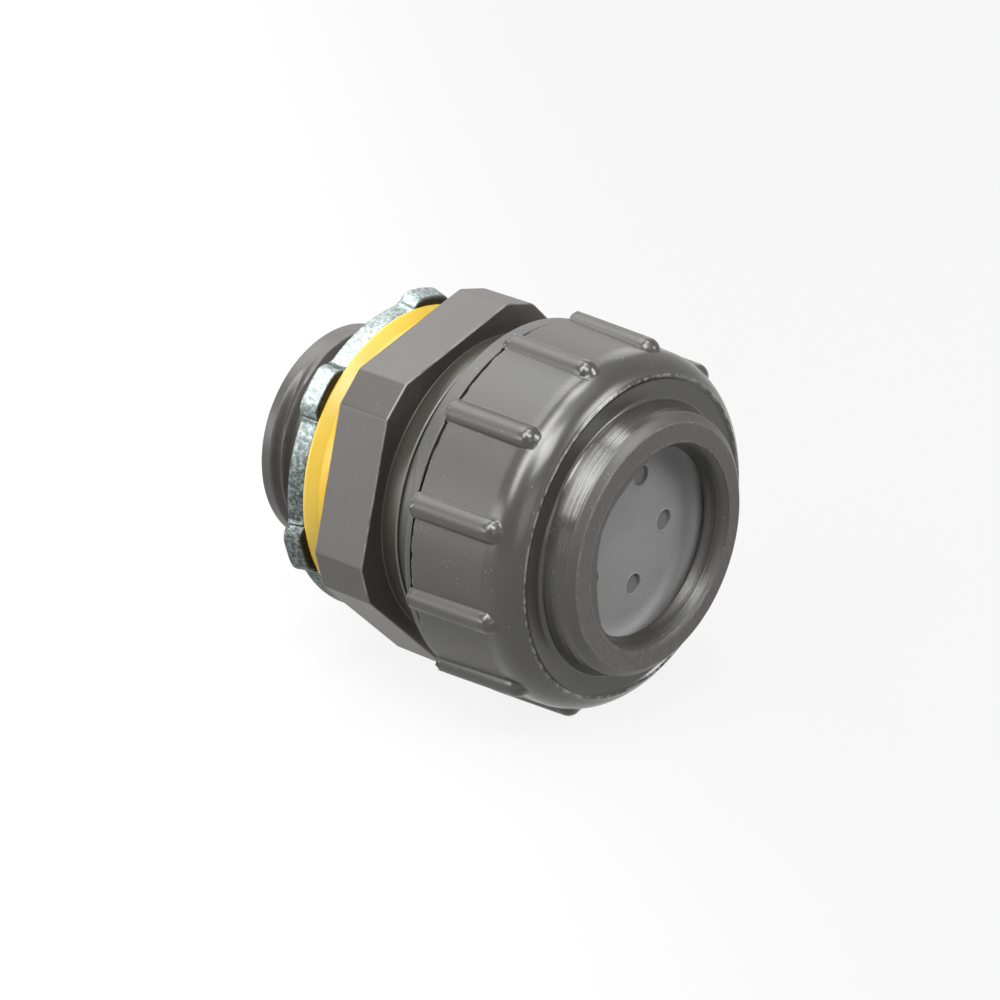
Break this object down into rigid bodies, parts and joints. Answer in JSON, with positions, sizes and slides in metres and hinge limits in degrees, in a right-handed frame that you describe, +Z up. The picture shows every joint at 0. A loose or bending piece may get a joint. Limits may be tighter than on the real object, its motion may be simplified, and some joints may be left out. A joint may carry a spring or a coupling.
{
  "type": "multi-hole cord grip",
  "caption": "Liquid-tight cord grip: threaded hub with sealing ring and locknut, wrench flange, and a ribbed compression nut over a rubber grommet for several thin cords.",
  "frame": {"origin": "centre of the flange's rear face, on the axis of the hub, where the face meets the wall side", "axes": "+X along the axis from the threaded hub towards the cord mouth, +Z up as the grip lies in the picture"},
  "size_m": [0.0489, 0.0438, 0.0438],
  "materials": {
    "body_plastic": "fine moulded, satin",
    "nut_plastic": "moulded satin skirt with a glossy crown",
    "ring_rubber": "smooth translucent amber",
    "locknut_steel": "zinc plated, mottled",
    "grommet_rubber": "matt",
    "washer_plastic": "smooth"
  },
  "bodies": {
    "body": {"gland_body": "body_plastic", "grommet": "grommet_rubber"},
    "washer": {"slip_washer": "washer_plastic"},
    "nut": {"compression_nut": "nut_plastic"},
    "ring": {"sealing_ring": "ring_rubber"},
    "locknut": {"lock_nut": "locknut_steel"}
  },
  "joints": [
    {"name": "nut_travel", "type": "slide", "parent": "body", "child": "washer", "axis": [1, 0, 0], "range_m": [-0.00151, 0.00801]},
    {"name": "nut_turn", "type": "hinge", "parent": "washer", "child": "nut", "pos_m": [0.02, 0, 0], "axis": [1, 0, 0], "range_deg": [-216, 1152]},
    {"name": "ring_slide", "type": "slide", "parent": "body", "child": "ring", "axis": [-1, 0, 0], "range_m": [0, 0.00931]},
    {"name": "locknut_turn", "type": "hinge", "parent": "ring", "child": "locknut", "pos_m": [-0.0056, 0, 0], "axis": [-1, 0, 0], "range_deg": [0, 1845]}
  ],
  "couplings": [
    {"joint": "nut_travel", "follows": "nut_turn", "m_per_rad": 0.00039789},
    {"joint": "ring_slide", "follows": "locknut_turn", "m_per_rad": 0.00028871}
  ]
}
